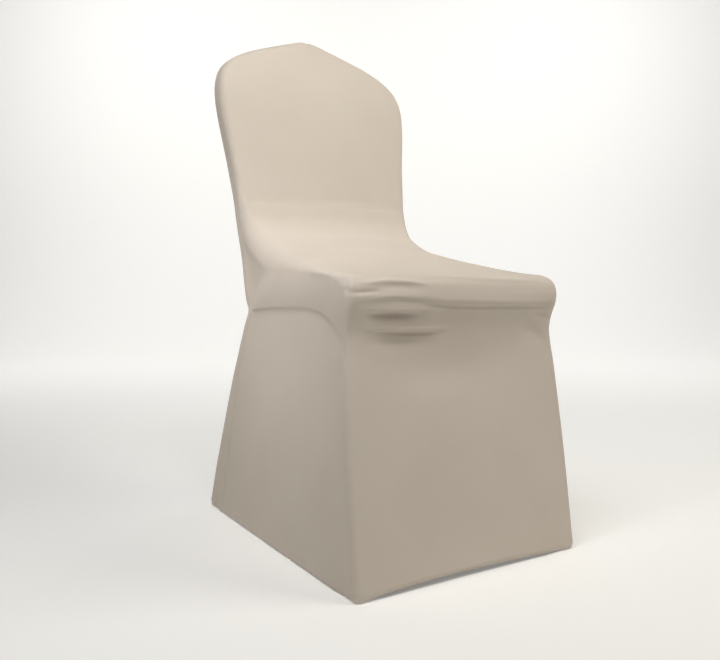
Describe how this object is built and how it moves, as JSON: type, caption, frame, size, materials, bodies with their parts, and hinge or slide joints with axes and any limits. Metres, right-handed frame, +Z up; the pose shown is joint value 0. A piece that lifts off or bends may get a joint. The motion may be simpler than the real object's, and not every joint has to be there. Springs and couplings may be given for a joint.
{
  "type": "stretch chair cover",
  "caption": "Fitted stretch cover for a crown-back chair: one tight knit skin over back, seat and legs, flared to the floor with a pocket at each foot.",
  "frame": {"origin": "under the top of the crown, on the cover's inner side, where the chair's back carries it", "axes": "+X to the right seen from the front, +Y towards the back, +Z up"},
  "size_m": [0.437, 0.579, 0.94],
  "materials": {
    "knit": "matt elastic warp knit with a faint sheen, light beige",
    "foot_pocket": "the same knit, doubled, gathered round the foot"
  },
  "bodies": {
    "root": {"front_panel": "knit", "back_panel": "knit", "side_panel_right": "knit", "side_panel_left": "knit", "foot_pocket_front_left": "foot_pocket", "foot_pocket_front_right": "foot_pocket", "foot_pocket_rear_left": "foot_pocket", "foot_pocket_rear_right": "foot_pocket"}
  },
  "joints": []
}
